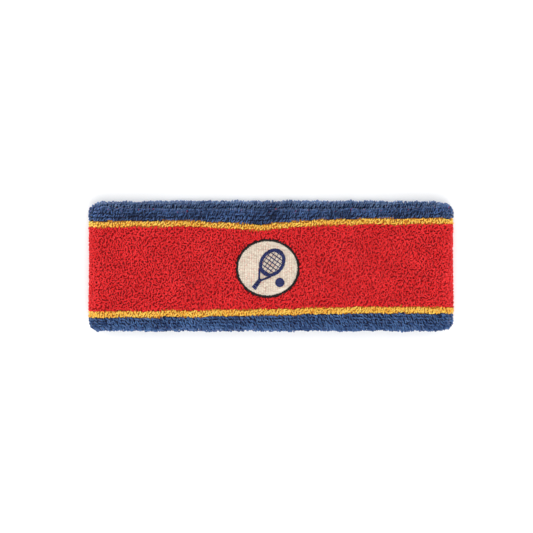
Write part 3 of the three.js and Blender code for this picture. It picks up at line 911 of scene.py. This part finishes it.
def linear(colour):
    """A 0 to 255 screen colour as the shader's linear colour."""
    share = np.array(colour) / 255
    return tuple(np.where(share <= 0.04045, share / 12.92, ((share + 0.055) / 1.055) ** 2.4))


def noise(tree, scale, detail=2.0, stretch=None):
    node = tree.nodes.new("ShaderNodeTexNoise")
    node.inputs["Scale"].default_value = scale
    node.inputs["Detail"].default_value = detail
    place_node = tree.nodes.new("ShaderNodeTexCoord")
    if stretch is None:
        link(tree, place_node.outputs["Object"], node.inputs["Vector"])
    else:
        mapping = tree.nodes.new("ShaderNodeMapping")
        mapping.inputs["Scale"].default_value = stretch
        link(tree, place_node.outputs["Object"], mapping.inputs["Vector"])
        link(tree, mapping.outputs["Vector"], node.inputs["Vector"])
    return node.outputs["Fac"]


def ramp(tree, factor, stops):
    node = tree.nodes.new("ShaderNodeValToRGB")
    elements = node.color_ramp.elements
    while len(elements) < len(stops):
        elements.new(0.5)
    for element, (position, colour) in zip(elements, stops):
        element.position = position
        element.color = (*colour, 1)
    link(tree, factor, node.inputs["Fac"])
    return node.outputs["Color"]


def mixed(tree, a, b, weight):
    """a and b added in the shares 1 - weight and weight."""
    node = tree.nodes.new("ShaderNodeMix")
    node.inputs["Factor"].default_value = weight
    link(tree, a, node.inputs["A"])
    link(tree, b, node.inputs["B"])
    return node.outputs["Result"]


def bump(tree, shader, height, strength, distance):
    node = tree.nodes.new("ShaderNodeBump")
    node.inputs["Strength"].default_value = strength
    node.inputs["Distance"].default_value = distance
    link(tree, height, node.inputs["Height"])
    link(tree, node.outputs["Normal"], shader.inputs["Normal"])


def yarn(name, dark, middle, light, roughness=0.95, sheen=0.25, fibre=2600.0, bump_size=0.05 * MM):
    """Spun yarn: each loop or stitch has its own shade, with paler and darker fibres in it."""
    material, tree, shader = new_material(name, roughness, sheen, linear(light))
    own = tree.nodes.new("ShaderNodeAttribute")
    own.attribute_name = "shade"
    fibres = noise(tree, fibre, 3.0)
    patches = noise(tree, 90.0, 2.0)
    factor = mixed(tree, mixed(tree, own.outputs["Fac"], fibres, 0.45), patches, 0.3)
    stops = ((0.2, linear(dark)), (0.5, linear(middle)), (0.8, linear(light)))
    link(tree, ramp(tree, factor, stops), shader.inputs["Base Color"])
    bump(tree, shader, fibres, 0.6, bump_size)
    return material


def pile_yarn(name, dark, light):
    """The shades of one dyed pile yarn, from the darkest loops to the palest."""
    shades = []
    for i in range(SHADES):
        share = i / (SHADES - 1)
        colour = np.array(linear(dark)) * (1 - share) + np.array(linear(light)) * share
        material, _, shader = new_material(f"{name}_{i + 1}", 1.0, 0.15, tuple(colour**0.5))
        shader.inputs["Base Color"].default_value = (*colour, 1)
        shader.inputs["Subsurface Weight"].default_value = 0.6
        shader.inputs["Subsurface Radius"].default_value = (1.0, 0.6, 0.5)
        shader.inputs["Subsurface Scale"].default_value = 0.6 * MM
        shades.append(material)
    return shades


def knit(name, dark, light):
    """Plain ground knit: fine upright wales and rows across them."""
    material, tree, shader = new_material(name, 0.95, 0.1)
    coordinates = tree.nodes.new("ShaderNodeTexCoord")
    wales = tree.nodes.new("ShaderNodeTexWave")
    wales.bands_direction = "X"
    wales.inputs["Scale"].default_value = 240.0
    wales.inputs["Distortion"].default_value = 0.6
    rows = tree.nodes.new("ShaderNodeTexWave")
    rows.bands_direction = "Y"
    rows.inputs["Scale"].default_value = 300.0
    rows.inputs["Distortion"].default_value = 0.8
    for wave in (wales, rows):
        link(tree, coordinates.outputs["Object"], wave.inputs["Vector"])
    weave = mixed(tree, wales.outputs["Fac"], rows.outputs["Fac"], 0.45)
    factor = mixed(tree, weave, noise(tree, 1500.0), 0.3)
    colour = ramp(tree, factor, ((0.2, linear(dark)), (0.75, linear(light))))
    link(tree, colour, shader.inputs["Base Color"])
    bump(tree, shader, weave, 0.7, 0.12 * MM)
    return material


def felt(name, dark, light):
    """Non-woven backing: short fibres pressed flat in every direction."""
    material, tree, shader = new_material(name, 0.9, 0.1)
    fibres = noise(tree, 1800.0, 6.0, stretch=(1, 0.35, 1))
    crossing = noise(tree, 1800.0, 6.0, stretch=(0.35, 1, 1))
    factor = mixed(tree, fibres, crossing, 0.5)
    colour = ramp(tree, factor, ((0.3, linear(dark)), (0.7, linear(light))))
    link(tree, colour, shader.inputs["Base Color"])
    bump(tree, shader, factor, 0.5, 0.05 * MM)
    return material


RED = pile_yarn("red_terry_yarn", (196, 26, 30), (230, 46, 50))
GOLD = pile_yarn("gold_terry_yarn", (232, 160, 50), (250, 208, 96))
BLUE = pile_yarn("blue_terry_yarn", (4, 15, 44), (76, 107, 160))
# A lighter copy of the blue pile yarn for the lower edge: painted light on that edge's loops.
LIT_BLUE = pile_yarn("blue_terry_yarn_below", (22, 44, 88), (78, 112, 162))
# A lighter copy of the blue pile yarn for the back's upper rim: painted light on the rim's loops,
# which face the lamp edge on.
RIM_BLUE_PAINTED_LIT = pile_yarn("blue_terry_yarn_at_the_rim", (46, 74, 120), (128, 156, 200))
LINING = pile_yarn("blue_lining_yarn", (28, 48, 90), (78, 106, 152))
SPECK_RED = pile_yarn("red_ground_yarn", (130, 20, 40), (180, 36, 58))
GROUND = [
    knit("red_ground_knit", (134, 16, 22), (190, 28, 34)),
    knit("blue_ground_knit", (14, 20, 42), (30, 40, 70)),
    knit("gold_ground_knit", (160, 96, 28), (214, 146, 52)),
]
ELASTIC = yarn("covered_elastic_yarn", (200, 190, 176), (228, 220, 206), (244, 238, 226),
               fibre=4000.0)
SEAM = yarn("seam_thread", (40, 56, 92), (66, 88, 126), (96, 118, 154), roughness=0.6)
SMOOTH = dict(sheen=0.1, fibre=5000.0, bump_size=0.02 * MM)
CREAM = yarn("cream_fill_thread", (182, 168, 150), (222, 210, 194), (244, 236, 220), 0.55, **SMOOTH)
BORDER = yarn("black_satin_thread", (6, 6, 7), (16, 15, 17), (34, 32, 34), 0.5, **SMOOTH)
NAVY = yarn("navy_satin_thread", (12, 16, 50), (22, 30, 78), (38, 48, 108), 0.5, **SMOOTH)
RED_FIBRE = yarn("red_fibre", (196, 56, 52), (222, 104, 98), (234, 160, 150))
BACKING = felt("stabiliser_felt", (196, 192, 184), (236, 233, 226))
BADGE_CLOTH = knit("badge_base_cloth", (186, 128, 112), (214, 170, 150))

# ---- Putting the headband together ----


def join(piece, nodes):
    """Bakes the piece's placing into its mesh, and hides the parts it stands for."""
    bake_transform(piece)
    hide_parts(*nodes)
    return piece


def offset(curve, distance):
    """The curve moved across the band."""

    def moved(s):
        return curve(s) + distance

    return moved


def seam_line(s):
    return 0 * s + SEAM_Y


def build_half(panel, side_name, side):
    """All the pieces of one half of a panel, from the middle of the band to a tip."""
    label = f"{panel.name}_{side_name}"
    whole = panel.name
    folds = f"{whole}_{side_name}_outer_fold", f"{whole}_{side_name}_lining_fold"
    above = offset(panel.upper_stripe, UPPER_STRIPE_HALF)
    under_upper = offset(panel.upper_stripe, -UPPER_STRIPE_HALF)
    over_lower = offset(panel.lower_stripe, STRIPE_HALF)
    below = offset(panel.lower_stripe, -STRIPE_HALF)
    upper_feet = [offset(panel.upper_stripe, sign * UPPER_STRIPE_FEET) for sign in (-1, 1)]
    lower_feet = [offset(panel.lower_stripe, sign * STRIPE_FEET) for sign in (-1, 1)]
    roll = EDGE_PILE + FOLD_DEPTH + 0.4 * MM
    hole = inside_badge if panel is FRONT else None
    upper_style = UPPER_LOOPS if panel is FRONT else BACK_UPPER_LOOPS
    # The back's upper edge takes the lighter copy of the blue yarn: painted light on its rim.
    upper_yarn = BLUE if panel is FRONT else RIM_BLUE_PAINTED_LIT

    outer = [
        (wall_zone(f"{label}_red_pile", panel, side, over_lower, under_upper,
                   RED_LOOPS, RED, hole=hole),
         "red_pile", (f"{whole}_red_pile_band", folds[0])),
        (wall_zone(f"{label}_upper_gold_pile", panel, side, *upper_feet, GOLD_LOOPS, GOLD),
         "gold_pile", (f"{whole}_upper_gold_stripe", folds[0])),
        (wall_zone(f"{label}_lower_gold_pile", panel, side, *lower_feet, GOLD_LOOPS, GOLD),
         "gold_pile", (f"{whole}_lower_gold_stripe", folds[0])),
        (edge_zone(f"{label}_upper_edge_pile", panel, side, above, panel.top, 1,
                   upper_style, upper_yarn),
         "blue_pile", (f"{whole}_upper_edge_roll", folds[0])),
        # The lower edge takes the lighter copy of the blue yarn: painted light.
        (edge_zone(f"{label}_lower_edge_pile", panel, side, below, panel.bottom, -1,
                   LOWER_LOOPS, LIT_BLUE),
         "blue_pile", (f"{whole}_lower_edge_roll", folds[0])),
    ]
    if panel is FRONT:
        specks = groove_specks(f"{label}_groove_specks", panel, side, above, panel.top,
                               SPECK_LOOPS, SPECK_RED)
        outer.append((specks, "ground_knit", (f"{whole}_ground_knit",)))
    seam_high, seam_low = offset(seam_line, SEAM_GAP), offset(seam_line, -SEAM_GAP)
    inner = [
        (wall_zone(f"{label}_upper_lining_pile", panel, side, seam_high, offset(panel.top, -roll),
                   LINING_LOOPS, LINING, inside=True),
         "blue_pile", (f"{whole}_upper_lining", folds[1])),
        (wall_zone(f"{label}_lower_lining_pile", panel, side, offset(panel.bottom, roll), seam_low,
                   LINING_LOOPS, LINING, inside=True),
         "blue_pile", (f"{whole}_lower_lining", folds[1])),
        (seam_piece(f"{label}_linking_stitches", panel, side, SEAM),
         "seam_thread", (f"{whole}_linking_seam",)),
    ]
    ground = knit_piece(f"{label}_knit", panel, side, GROUND)
    elastic = elastic_piece(f"{label}_elastic", panel, side, ELASTIC)

    for piece, finish, nodes in outer:
        join(piece, nodes)
    for piece, finish, nodes in inner:
        join(piece, nodes)
    join(ground, (f"{whole}_ground_knit",))
    join(elastic, (f"{whole}_elastic_yarn",))


def build_badge():
    parts = [
        (badge_base("badge_base_cloth", BADGE_CLOTH), "badge_fill_thread", "badge_cream_fill"),
        (badge_fill("badge_fill_stitches", CREAM), "badge_fill_thread", "badge_cream_fill"),
        (badge_border("badge_border_stitches", BORDER), "badge_border_thread", "badge_satin_border"),
        (hoop_piece("badge_hoop_stitches", NAVY), "badge_motif_thread", "badge_racket_hoop"),
        (strings_piece("badge_string_stitches", NAVY), "badge_motif_thread", "badge_racket_strings"),
        (handle_piece("badge_handle_stitches", NAVY), "badge_motif_thread", "badge_racket_handle"),
        (ball_piece("badge_ball_stitches", NAVY), "badge_motif_thread", "badge_ball"),
        (speck_piece("badge_red_specks", RED_FIBRE), "red_pile", "badge_cream_fill"),
    ]
    for piece, finish, node in parts:
        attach(piece, "front_panel")
        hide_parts(node)
    stabiliser = frame["nodes"]["badge_stabiliser"]
    stabiliser.data.materials.clear()
    stabiliser.data.materials.append(BACKING)


for panel in PANELS:
    for side_name, side in SIDES:
        build_half(panel, side_name, side)
build_badge()

# ---- Floor, light and camera ----


def floor():
    mesh = bpy.data.meshes.new("floor")
    reach = 3.0
    mesh.from_pydata([(-reach, -reach, 0), (reach, -reach, 0), (reach, reach, 0), (-reach, reach, 0)],
                     [], [(0, 1, 2, 3)])
    material, _, shader = new_material("pale_floor", 0.9)
    shader.inputs["Base Color"].default_value = (0.9, 0.9, 0.9, 1)
    mesh.materials.append(material)
    plane = bpy.data.objects.new("floor", mesh)
    bpy.context.scene.collection.objects.link(plane)


def area_light(name, location, size, power):
    """A square lamp that points at the middle of the floor."""
    data = bpy.data.lights.new(name, "AREA")
    data.size = size
    data.energy = power
    light = bpy.data.objects.new(name, data)
    light.location = location
    light.rotation_euler = (-Vector(location)).to_track_quat("-Z", "Y").to_euler()
    bpy.context.scene.collection.objects.link(light)


def world(strength):
    scene_world = bpy.data.worlds.new("studio")
    scene_world.use_nodes = True
    background = scene_world.node_tree.nodes["Background"]
    background.inputs["Color"].default_value = (1, 1, 1, 1)
    background.inputs["Strength"].default_value = strength
    bpy.context.scene.world = scene_world


def camera():
    data = bpy.data.cameras.new("camera")
    data.lens = 90
    data.sensor_width = 36
    data.clip_start = 0.01
    viewpoint = bpy.data.objects.new("camera", data)
    viewpoint.location = (-2.2 * MM, -0.5 * MM, 665 * MM)
    bpy.context.scene.collection.objects.link(viewpoint)
    bpy.context.scene.camera = viewpoint


floor()
world(1.0)
area_light("overhead", (0.1, -0.62, 1.15), size=0.7, power=8.0)
area_light("fill", (-0.35, 0.35, 1.0), size=0.9, power=1.8)
camera()
bpy.context.scene.view_settings.view_transform = "Standard"
